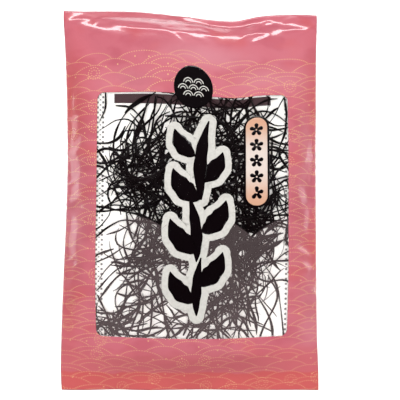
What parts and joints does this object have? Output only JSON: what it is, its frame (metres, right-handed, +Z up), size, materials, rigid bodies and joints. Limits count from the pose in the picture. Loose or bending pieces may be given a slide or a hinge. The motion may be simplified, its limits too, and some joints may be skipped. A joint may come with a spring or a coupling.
{
  "type": "pouch of dried arame",
  "caption": "Flat sealed retail pouch with a printed front film and a clear window, filled with a loose tangle of dried dark kelp strands.",
  "frame": {"origin": "on the table under the middle of the pouch", "axes": "+X across the pouch, +Y towards its top seal, +Z up out of the window"},
  "size_m": [0.16, 0.235, 0.027],
  "materials": {
    "printed_film": "glossy printed film, pink",
    "clear_film": "glossy clear film",
    "backing_film": "glossy film, white inside",
    "dried_kelp": "dry, dull, nearly black brown"
  },
  "bodies": {
    "root": {"front_film": "printed_film", "window_film": "clear_film", "back_film": "backing_film", "arame_strands": "dried_kelp"}
  },
  "joints": []
}
